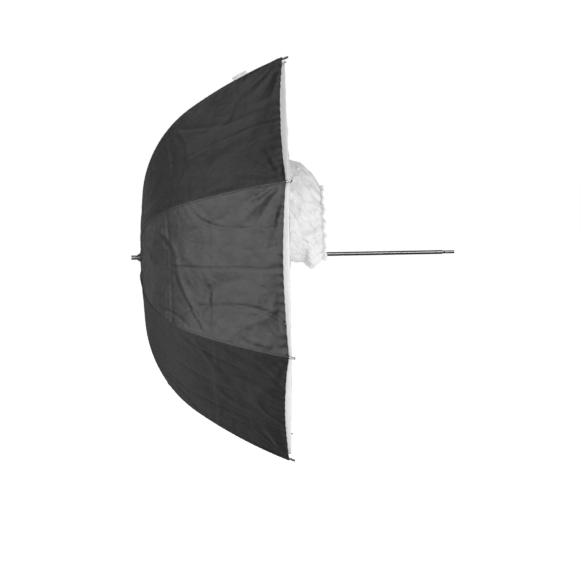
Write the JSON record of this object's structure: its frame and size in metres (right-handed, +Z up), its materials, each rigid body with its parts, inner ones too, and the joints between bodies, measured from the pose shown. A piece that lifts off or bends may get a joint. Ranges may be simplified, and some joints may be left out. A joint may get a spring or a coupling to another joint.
{
  "type": "umbrella reflector",
  "caption": "Deep folding umbrella reflector on a round shaft, black outside and white inside, with a white front diffuser and an off-centre sleeve for a flash head.",
  "frame": {"origin": "on the shaft's axis, where a holder grips it, 473 mm from the circle on which the ribs hinge", "axes": "+X along the shaft from the crown to the gripped end, +Z up towards the sleeve's side"},
  "size_m": [0.658, 0.7942, 0.7942],
  "materials": {
    "rib_rod": "dark plated spring steel",
    "stretcher_rod": "plated steel",
    "canopy_cloth": "black woven polyester, white inside",
    "diffuser_cloth": "white translucent nylon",
    "elastic": "ribbed elastic",
    "shaft_metal": "satin tube",
    "plug_metal": "turned",
    "ferrule_metal": "turned, dark end",
    "collar_plastic": "moulded",
    "notch_plastic": "moulded",
    "runner_plastic": "moulded",
    "wire": "bright wire",
    "strap_tape": "light grey tape"
  },
  "bodies": {
    "shaft": {"shaft_tube": "shaft_metal", "shaft_end_plug": "plug_metal", "ferrule": "ferrule_metal", "ferrule_collar": "collar_plastic", "crown_notch": "notch_plastic", "crown_wire": "wire"},
    "inner_rib_1": {"rib_inner_1": "rib_rod"},
    "mid_rib_1": {"rib_mid_1": "rib_rod", "canopy_gore_1": "canopy_cloth"},
    "outer_rib_1": {"rib_outer_1": "rib_rod", "tie_strap": "strap_tape"},
    "stretcher_body_1": {"stretcher_1": "stretcher_rod"},
    "diffuser_body_1": {"diffuser_panel_1": "diffuser_cloth"},
    "inner_rib_2": {"rib_inner_2": "rib_rod"},
    "mid_rib_2": {"rib_mid_2": "rib_rod", "canopy_gore_2": "canopy_cloth"},
    "outer_rib_2": {"rib_outer_2": "rib_rod"},
    "stretcher_body_2": {"stretcher_2": "stretcher_rod"},
    "diffuser_body_2": {"diffuser_panel_2": "diffuser_cloth"},
    "inner_rib_3": {"rib_inner_3": "rib_rod"},
    "mid_rib_3": {"rib_mid_3": "rib_rod", "canopy_gore_3": "canopy_cloth"},
    "outer_rib_3": {"rib_outer_3": "rib_rod"},
    "stretcher_body_3": {"stretcher_3": "stretcher_rod"},
    "diffuser_body_3": {"diffuser_panel_3": "diffuser_cloth"},
    "inner_rib_4": {"rib_inner_4": "rib_rod"},
    "mid_rib_4": {"rib_mid_4": "rib_rod", "canopy_gore_4": "canopy_cloth"},
    "outer_rib_4": {"rib_outer_4": "rib_rod"},
    "stretcher_body_4": {"stretcher_4": "stretcher_rod"},
    "diffuser_body_4": {"diffuser_panel_4": "diffuser_cloth"},
    "inner_rib_5": {"rib_inner_5": "rib_rod"},
    "mid_rib_5": {"rib_mid_5": "rib_rod", "canopy_gore_5": "canopy_cloth"},
    "outer_rib_5": {"rib_outer_5": "rib_rod"},
    "stretcher_body_5": {"stretcher_5": "stretcher_rod"},
    "diffuser_body_5": {"diffuser_panel_5": "diffuser_cloth"},
    "inner_rib_6": {"rib_inner_6": "rib_rod"},
    "mid_rib_6": {"rib_mid_6": "rib_rod", "canopy_gore_6": "canopy_cloth"},
    "outer_rib_6": {"rib_outer_6": "rib_rod"},
    "stretcher_body_6": {"stretcher_6": "stretcher_rod"},
    "diffuser_body_6": {"diffuser_panel_6": "diffuser_cloth"},
    "inner_rib_7": {"rib_inner_7": "rib_rod"},
    "mid_rib_7": {"rib_mid_7": "rib_rod", "canopy_gore_7": "canopy_cloth"},
    "outer_rib_7": {"rib_outer_7": "rib_rod"},
    "stretcher_body_7": {"stretcher_7": "stretcher_rod"},
    "diffuser_body_7": {"diffuser_panel_7": "diffuser_cloth"},
    "inner_rib_8": {"rib_inner_8": "rib_rod"},
    "mid_rib_8": {"rib_mid_8": "rib_rod", "canopy_gore_8": "canopy_cloth"},
    "outer_rib_8": {"rib_outer_8": "rib_rod"},
    "stretcher_body_8": {"stretcher_8": "stretcher_rod"},
    "diffuser_body_8": {"diffuser_panel_8": "diffuser_cloth"},
    "runner_body": {"runner": "runner_plastic", "runner_wire": "wire"},
    "sleeve_body": {"diffuser_sleeve": "diffuser_cloth", "sleeve_elastic": "elastic"},
    "catch_body": {"top_catch": "wire"}
  },
  "joints": [
    {"name": "canopy_fold", "type": "hinge", "parent": "shaft", "child": "inner_rib_1", "pos_m": [-0.473, -0.00459, 0.01109], "axis": [0, 0.9239, 0.3827], "range_deg": [0, 76], "deforming": ["canopy_gore_1", "canopy_gore_2", "canopy_gore_3", "canopy_gore_4", "canopy_gore_5", "canopy_gore_6", "canopy_gore_7", "canopy_gore_8", "diffuser_panel_1", "diffuser_panel_2", "diffuser_panel_3", "diffuser_panel_4", "diffuser_panel_5", "diffuser_panel_6", "diffuser_panel_7", "diffuser_panel_8", "diffuser_sleeve", "sleeve_elastic", "tie_strap", "top_catch"]},
    {"name": "stretcher_turn_1", "type": "hinge", "parent": "inner_rib_1", "child": "stretcher_body_1", "pos_m": [-0.42662, -0.09185, 0.22174], "axis": [0, 0.9239, 0.3827], "range_deg": [-152.01, 0]},
    {"name": "rib_bend_1", "type": "hinge", "parent": "inner_rib_1", "child": "mid_rib_1", "pos_m": [-0.42747, -0.0973, 0.2349], "axis": [0, 0.9239, 0.3827], "range_deg": [-26.99, 0]},
    {"name": "rib_end_bend_1", "type": "hinge", "parent": "mid_rib_1", "child": "outer_rib_1", "pos_m": [-0.36307, -0.12372, 0.2987], "axis": [0, 0.9239, 0.3827], "range_deg": [-17.87, 0]},
    {"name": "diffuser_tuck_1", "type": "hinge", "parent": "outer_rib_1", "child": "diffuser_body_1", "pos_m": [-0.183, -0.1592, 0.38433], "axis": [0, 0.9239, 0.3827], "range_deg": [0, 62.33]},
    {"name": "rib_fold_2", "type": "hinge", "parent": "shaft", "child": "inner_rib_2", "pos_m": [-0.473, -0.01109, 0.00459], "axis": [0, 0.3827, 0.9239], "range_deg": [0, 76.01]},
    {"name": "stretcher_turn_2", "type": "hinge", "parent": "inner_rib_2", "child": "stretcher_body_2", "pos_m": [-0.42662, -0.22174, 0.09185], "axis": [0, 0.3827, 0.9239], "range_deg": [-152.01, 0]},
    {"name": "rib_bend_2", "type": "hinge", "parent": "inner_rib_2", "child": "mid_rib_2", "pos_m": [-0.42747, -0.2349, 0.0973], "axis": [0, 0.3827, 0.9239], "range_deg": [-26.99, 0]},
    {"name": "rib_end_bend_2", "type": "hinge", "parent": "mid_rib_2", "child": "outer_rib_2", "pos_m": [-0.36307, -0.2987, 0.12372], "axis": [0, 0.3827, 0.9239], "range_deg": [-17.87, 0]},
    {"name": "diffuser_tuck_2", "type": "hinge", "parent": "outer_rib_2", "child": "diffuser_body_2", "pos_m": [-0.183, -0.38433, 0.1592], "axis": [0, 0.3827, 0.9239], "range_deg": [0, 62.33]},
    {"name": "rib_fold_3", "type": "hinge", "parent": "shaft", "child": "inner_rib_3", "pos_m": [-0.473, -0.01109, -0.00459], "axis": [0, -0.3827, 0.9239], "range_deg": [0, 76.01]},
    {"name": "stretcher_turn_3", "type": "hinge", "parent": "inner_rib_3", "child": "stretcher_body_3", "pos_m": [-0.42662, -0.22174, -0.09185], "axis": [0, -0.3827, 0.9239], "range_deg": [-152.01, 0]},
    {"name": "rib_bend_3", "type": "hinge", "parent": "inner_rib_3", "child": "mid_rib_3", "pos_m": [-0.42747, -0.2349, -0.0973], "axis": [0, -0.3827, 0.9239], "range_deg": [-26.99, 0]},
    {"name": "rib_end_bend_3", "type": "hinge", "parent": "mid_rib_3", "child": "outer_rib_3", "pos_m": [-0.36307, -0.2987, -0.12372], "axis": [0, -0.3827, 0.9239], "range_deg": [-17.87, 0]},
    {"name": "diffuser_tuck_3", "type": "hinge", "parent": "outer_rib_3", "child": "diffuser_body_3", "pos_m": [-0.183, -0.38433, -0.1592], "axis": [0, -0.3827, 0.9239], "range_deg": [0, 62.33]},
    {"name": "rib_fold_4", "type": "hinge", "parent": "shaft", "child": "inner_rib_4", "pos_m": [-0.473, -0.00459, -0.01109], "axis": [0, -0.9239, 0.3827], "range_deg": [0, 76.01]},
    {"name": "stretcher_turn_4", "type": "hinge", "parent": "inner_rib_4", "child": "stretcher_body_4", "pos_m": [-0.42662, -0.09185, -0.22174], "axis": [0, -0.9239, 0.3827], "range_deg": [-152.01, 0]},
    {"name": "rib_bend_4", "type": "hinge", "parent": "inner_rib_4", "child": "mid_rib_4", "pos_m": [-0.42747, -0.0973, -0.2349], "axis": [0, -0.9239, 0.3827], "range_deg": [-26.99, 0]},
    {"name": "rib_end_bend_4", "type": "hinge", "parent": "mid_rib_4", "child": "outer_rib_4", "pos_m": [-0.36307, -0.12372, -0.2987], "axis": [0, -0.9239, 0.3827], "range_deg": [-17.87, 0]},
    {"name": "diffuser_tuck_4", "type": "hinge", "parent": "outer_rib_4", "child": "diffuser_body_4", "pos_m": [-0.183, -0.1592, -0.38433], "axis": [0, -0.9239, 0.3827], "range_deg": [0, 62.33]},
    {"name": "rib_fold_5", "type": "hinge", "parent": "shaft", "child": "inner_rib_5", "pos_m": [-0.473, 0.00459, -0.01109], "axis": [0, -0.9239, -0.3827], "range_deg": [0, 76.01]},
    {"name": "stretcher_turn_5", "type": "hinge", "parent": "inner_rib_5", "child": "stretcher_body_5", "pos_m": [-0.42662, 0.09185, -0.22174], "axis": [0, -0.9239, -0.3827], "range_deg": [-152.01, 0]},
    {"name": "rib_bend_5", "type": "hinge", "parent": "inner_rib_5", "child": "mid_rib_5", "pos_m": [-0.42747, 0.0973, -0.2349], "axis": [0, -0.9239, -0.3827], "range_deg": [-26.99, 0]},
    {"name": "rib_end_bend_5", "type": "hinge", "parent": "mid_rib_5", "child": "outer_rib_5", "pos_m": [-0.36307, 0.12372, -0.2987], "axis": [0, -0.9239, -0.3827], "range_deg": [-17.87, 0]},
    {"name": "diffuser_tuck_5", "type": "hinge", "parent": "outer_rib_5", "child": "diffuser_body_5", "pos_m": [-0.183, 0.1592, -0.38433], "axis": [0, -0.9239, -0.3827], "range_deg": [0, 62.33]},
    {"name": "rib_fold_6", "type": "hinge", "parent": "shaft", "child": "inner_rib_6", "pos_m": [-0.473, 0.01109, -0.00459], "axis": [0, -0.3827, -0.9239], "range_deg": [0, 76.01]},
    {"name": "stretcher_turn_6", "type": "hinge", "parent": "inner_rib_6", "child": "stretcher_body_6", "pos_m": [-0.42662, 0.22174, -0.09185], "axis": [0, -0.3827, -0.9239], "range_deg": [-152.01, 0]},
    {"name": "rib_bend_6", "type": "hinge", "parent": "inner_rib_6", "child": "mid_rib_6", "pos_m": [-0.42747, 0.2349, -0.0973], "axis": [0, -0.3827, -0.9239], "range_deg": [-26.99, 0]},
    {"name": "rib_end_bend_6", "type": "hinge", "parent": "mid_rib_6", "child": "outer_rib_6", "pos_m": [-0.36307, 0.2987, -0.12372], "axis": [0, -0.3827, -0.9239], "range_deg": [-17.87, 0]},
    {"name": "diffuser_tuck_6", "type": "hinge", "parent": "outer_rib_6", "child": "diffuser_body_6", "pos_m": [-0.183, 0.38433, -0.1592], "axis": [0, -0.3827, -0.9239], "range_deg": [0, 62.33]},
    {"name": "rib_fold_7", "type": "hinge", "parent": "shaft", "child": "inner_rib_7", "pos_m": [-0.473, 0.01109, 0.00459], "axis": [0, 0.3827, -0.9239], "range_deg": [0, 76.01]},
    {"name": "stretcher_turn_7", "type": "hinge", "parent": "inner_rib_7", "child": "stretcher_body_7", "pos_m": [-0.42662, 0.22174, 0.09185], "axis": [0, 0.3827, -0.9239], "range_deg": [-152.01, 0]},
    {"name": "rib_bend_7", "type": "hinge", "parent": "inner_rib_7", "child": "mid_rib_7", "pos_m": [-0.42747, 0.2349, 0.0973], "axis": [0, 0.3827, -0.9239], "range_deg": [-26.99, 0]},
    {"name": "rib_end_bend_7", "type": "hinge", "parent": "mid_rib_7", "child": "outer_rib_7", "pos_m": [-0.36307, 0.2987, 0.12372], "axis": [0, 0.3827, -0.9239], "range_deg": [-17.87, 0]},
    {"name": "diffuser_tuck_7", "type": "hinge", "parent": "outer_rib_7", "child": "diffuser_body_7", "pos_m": [-0.183, 0.38433, 0.1592], "axis": [0, 0.3827, -0.9239], "range_deg": [0, 62.33]},
    {"name": "rib_fold_8", "type": "hinge", "parent": "shaft", "child": "inner_rib_8", "pos_m": [-0.473, 0.00459, 0.01109], "axis": [0, 0.9239, -0.3827], "range_deg": [0, 76.01]},
    {"name": "stretcher_turn_8", "type": "hinge", "parent": "inner_rib_8", "child": "stretcher_body_8", "pos_m": [-0.42662, 0.09185, 0.22174], "axis": [0, 0.9239, -0.3827], "range_deg": [-152.01, 0]},
    {"name": "rib_bend_8", "type": "hinge", "parent": "inner_rib_8", "child": "mid_rib_8", "pos_m": [-0.42747, 0.0973, 0.2349], "axis": [0, 0.9239, -0.3827], "range_deg": [-26.99, 0]},
    {"name": "rib_end_bend_8", "type": "hinge", "parent": "mid_rib_8", "child": "outer_rib_8", "pos_m": [-0.36307, 0.12372, 0.2987], "axis": [0, 0.9239, -0.3827], "range_deg": [-17.87, 0]},
    {"name": "diffuser_tuck_8", "type": "hinge", "parent": "outer_rib_8", "child": "diffuser_body_8", "pos_m": [-0.183, 0.1592, 0.38433], "axis": [0, 0.9239, -0.3827], "range_deg": [0, 62.33]},
    {"name": "runner_hang", "type": "hinge", "parent": "stretcher_body_1", "child": "runner_body", "pos_m": [-0.38024, -0.00459, 0.01109], "axis": [0, 0.9239, 0.3827], "range_deg": [0, 76.01]},
    {"name": "sleeve_travel", "type": "slide", "parent": "shaft", "child": "sleeve_body", "axis": [1, 0, 0], "range_m": [0, 0.2625]},
    {"name": "catch_press", "type": "slide", "parent": "shaft", "child": "catch_body", "axis": [0, 0, 1], "range_m": [0, 0.0026], "stiffness_N_per_m": 500}
  ],
  "couplings": [
    {"joint": "stretcher_turn_1", "follows": "canopy_fold", "ratio": -2},
    {"joint": "rib_bend_1", "follows": "canopy_fold", "ratio": -0.355},
    {"joint": "rib_end_bend_1", "follows": "canopy_fold", "ratio": -0.235},
    {"joint": "diffuser_tuck_1", "follows": "canopy_fold", "ratio": 0.82},
    {"joint": "rib_fold_2", "follows": "canopy_fold", "ratio": 1},
    {"joint": "stretcher_turn_2", "follows": "canopy_fold", "ratio": -2},
    {"joint": "rib_bend_2", "follows": "canopy_fold", "ratio": -0.355},
    {"joint": "rib_end_bend_2", "follows": "canopy_fold", "ratio": -0.235},
    {"joint": "diffuser_tuck_2", "follows": "canopy_fold", "ratio": 0.82},
    {"joint": "rib_fold_3", "follows": "canopy_fold", "ratio": 1},
    {"joint": "stretcher_turn_3", "follows": "canopy_fold", "ratio": -2},
    {"joint": "rib_bend_3", "follows": "canopy_fold", "ratio": -0.355},
    {"joint": "rib_end_bend_3", "follows": "canopy_fold", "ratio": -0.235},
    {"joint": "diffuser_tuck_3", "follows": "canopy_fold", "ratio": 0.82},
    {"joint": "rib_fold_4", "follows": "canopy_fold", "ratio": 1},
    {"joint": "stretcher_turn_4", "follows": "canopy_fold", "ratio": -2},
    {"joint": "rib_bend_4", "follows": "canopy_fold", "ratio": -0.355},
    {"joint": "rib_end_bend_4", "follows": "canopy_fold", "ratio": -0.235},
    {"joint": "diffuser_tuck_4", "follows": "canopy_fold", "ratio": 0.82},
    {"joint": "rib_fold_5", "follows": "canopy_fold", "ratio": 1},
    {"joint": "stretcher_turn_5", "follows": "canopy_fold", "ratio": -2},
    {"joint": "rib_bend_5", "follows": "canopy_fold", "ratio": -0.355},
    {"joint": "rib_end_bend_5", "follows": "canopy_fold", "ratio": -0.235},
    {"joint": "diffuser_tuck_5", "follows": "canopy_fold", "ratio": 0.82},
    {"joint": "rib_fold_6", "follows": "canopy_fold", "ratio": 1},
    {"joint": "stretcher_turn_6", "follows": "canopy_fold", "ratio": -2},
    {"joint": "rib_bend_6", "follows": "canopy_fold", "ratio": -0.355},
    {"joint": "rib_end_bend_6", "follows": "canopy_fold", "ratio": -0.235},
    {"joint": "diffuser_tuck_6", "follows": "canopy_fold", "ratio": 0.82},
    {"joint": "rib_fold_7", "follows": "canopy_fold", "ratio": 1},
    {"joint": "stretcher_turn_7", "follows": "canopy_fold", "ratio": -2},
    {"joint": "rib_bend_7", "follows": "canopy_fold", "ratio": -0.355},
    {"joint": "rib_end_bend_7", "follows": "canopy_fold", "ratio": -0.235},
    {"joint": "diffuser_tuck_7", "follows": "canopy_fold", "ratio": 0.82},
    {"joint": "rib_fold_8", "follows": "canopy_fold", "ratio": 1},
    {"joint": "stretcher_turn_8", "follows": "canopy_fold", "ratio": -2},
    {"joint": "rib_bend_8", "follows": "canopy_fold", "ratio": -0.355},
    {"joint": "rib_end_bend_8", "follows": "canopy_fold", "ratio": -0.235},
    {"joint": "diffuser_tuck_8", "follows": "canopy_fold", "ratio": 0.82},
    {"joint": "runner_hang", "follows": "canopy_fold", "ratio": 1},
    {"joint": "sleeve_travel", "follows": "canopy_fold", "m_per_rad": 0.1975}
  ]
}
